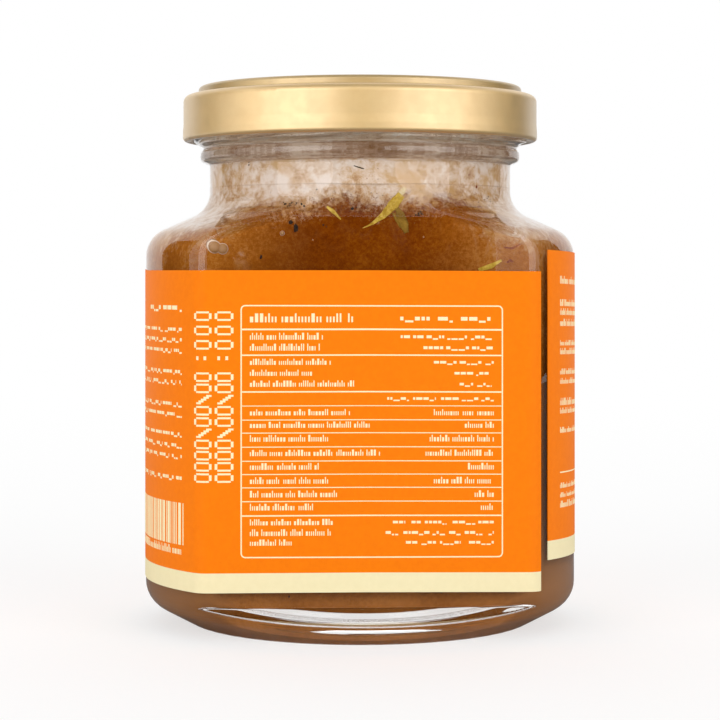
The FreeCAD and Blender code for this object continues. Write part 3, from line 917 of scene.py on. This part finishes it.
bar_place = SIDE_BLOCK + 0.6
while bar_place > SIDE_BLOCK - 26:
    thickness = press.choice((0.3, 0.3, 0.6, 0.9))
    ink.append(plain_bar(bar_place - thickness, 8.8, thickness, 8.1))
    bar_place -= thickness + press.choice((0.3, 0.3, 0.6))
ink.append(row_of_strokes(SIDE_BLOCK - 25, 25, 7.6, 1.6))

bpy.context.tool_settings.mesh_select_mode = (True, False, False)
layer = joined(ink, "printed_marks")
for v in layer.data.vertices:
    v.co = round_the_jar(v.co.x / 1000, v.co.y / 1000, INK_UNDER)
thick = layer.modifiers.new("ink", "SOLIDIFY")
thick.thickness = INK
thick.offset = 1
bpy.ops.object.modifier_apply(modifier="ink")
layer.data.materials.append(
    printed_paper("cream_marks", (0.93, 0.82, 0.50), (0.90, 0.79, 0.47)))
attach(layer, "root")


# Studio. A white floor and a white surround with a soft box on each side and a light from
# behind and above. Dark cards, seen by reflections alone, keep the glass in front of the
# honey clear and mark its edges, as black flags do round glassware.

NEAR_LIGHT, FAR_LIGHT = 0.62, 1.0
GLASS_LIGHT = 0.95

bpy.ops.object.select_all(action="DESELECT")
bpy.ops.mesh.primitive_circle_add(vertices=64, radius=60, fill_type="NGON", location=(0, 0, 0))
floor = bpy.context.object
floor.name = "floor"
white = start_finish("studio_white", roughness=0.9, specular=0.0)
body.inputs["Base Color"].default_value = (1, 1, 1, 1)
glow = nodes.new("ShaderNodeEmission")
glow.inputs["Strength"].default_value = 1.0
path = nodes.new("ShaderNodeLightPath")
reach = nodes.new("ShaderNodeVectorMath")
reach.operation = "LENGTH"
links.new(own_place(), reach.inputs[0])
own_light = graded(reach.outputs["Value"], 0.1, 0.8, NEAR_LIGHT, FAR_LIGHT)
seen = worked_out("MAXIMUM", path.outputs["Is Camera Ray"], path.outputs["Is Glossy Ray"])
through_glass = worked_out("MULTIPLY", path.outputs["Is Transmission Ray"], GLASS_LIGHT)
either_shader(worked_out("MAXIMUM", worked_out("MULTIPLY", seen, own_light), through_glass),
              body, glow)
floor.data.materials.append(white)

world = bpy.data.worlds.new("studio")
bpy.context.scene.world = world
world.use_nodes = True
nodes, links = world.node_tree.nodes, world.node_tree.links
ambient = nodes["Background"]
ambient.inputs["Color"].default_value = (1, 1, 1, 1)
path = nodes.new("ShaderNodeLightPath")
seen = worked_out("MAXIMUM", path.outputs["Is Camera Ray"], path.outputs["Is Glossy Ray"])
seen = worked_out("MAXIMUM", seen, path.outputs["Is Transmission Ray"])
links.new(graded(seen, 0.0, 1.0, 0.55, 1.0, smooth=False), ambient.inputs["Strength"])

for side in (-1, 1):
    bpy.ops.object.select_all(action="DESELECT")
    bpy.ops.object.light_add(type="AREA", location=(0.85 * side, -0.85, 0.3))
    softbox = bpy.context.object
    softbox.name = "softbox"
    softbox.data.shape = "RECTANGLE"
    softbox.data.size = 1.0
    softbox.data.size_y = 1.2
    softbox.data.energy = 8.0
    softbox.rotation_euler = (math.radians(80), 0, math.radians(45 * side))
bpy.ops.object.light_add(type="AREA", location=(0, 0.9, 1.1), rotation=(math.radians(-40), 0, 0))
back_light = bpy.context.object
back_light.data.size = 1.4
back_light.data.energy = 7.0
back_light.visible_glossy = False


def matt_finish(name, tone):
    """Dull stuff of one grey."""
    finish = start_finish(name, specular=0.0)
    body.inputs["Base Color"].default_value = (tone, tone, tone, 1)
    return finish


def reflected_only(card, name, finish):
    """A card that reflections alone can see."""
    card.name = name
    card.visible_camera = card.visible_diffuse = card.visible_transmission = False
    card.visible_shadow = False
    card.data.materials.append(finish)
    return card


felt = matt_finish("dark_felt", 0.02)
grey_card = matt_finish("grey_card", 0.25)

for x, y, wide, turn in ((-0.05, -1.2, 0.42, 0), (1.1, 0.55, 1.1, 75), (-1.1, 0.65, 0.9, -75)):
    bpy.ops.object.select_all(action="DESELECT")
    bpy.ops.mesh.primitive_plane_add(size=1)
    card = reflected_only(bpy.context.object, "dark_card", felt)
    turn = math.radians(turn)
    for v in card.data.vertices:
        across, up = v.co.x * wide, v.co.y * 0.9 + 0.35
        v.co = (x + across * math.cos(turn), y + across * math.sin(turn), up)

bpy.ops.object.select_all(action="DESELECT")
bpy.ops.mesh.primitive_circle_add(vertices=48, radius=1.0, fill_type="NGON")
mat_card = reflected_only(bpy.context.object, "floor_card", grey_card)
bpy.ops.object.mode_set(mode="EDIT")
bpy.ops.mesh.inset(thickness=0.963)
bpy.ops.mesh.delete(type="FACE")
bpy.ops.object.mode_set(mode="OBJECT")
for v in mat_card.data.vertices:
    v.co.z = 0.0002
    if v.co.length > 0.5:
        v.co.x = v.co.x * 0.64 + 0.35

bpy.ops.object.select_all(action="DESELECT")
bpy.ops.mesh.primitive_plane_add(size=1)
top_card = reflected_only(bpy.context.object, "top_card", grey_card)
for v in top_card.data.vertices:
    v.co = (v.co.x * 1.8, v.co.y * 1.2 - 0.4, 1.1)

EYE = (-0.0247, -0.459, 0.0714)
bpy.ops.object.camera_add(location=EYE,
                          rotation=(math.radians(90), 0, math.atan2(EYE[0], -EYE[1])))
camera = bpy.context.object
camera.data.lens = 111.75
camera.data.sensor_width = 36
camera.data.shift_y = -0.125
camera.data.clip_start = 0.01
bpy.context.scene.camera = camera
bpy.context.scene.view_settings.view_transform = "Standard"
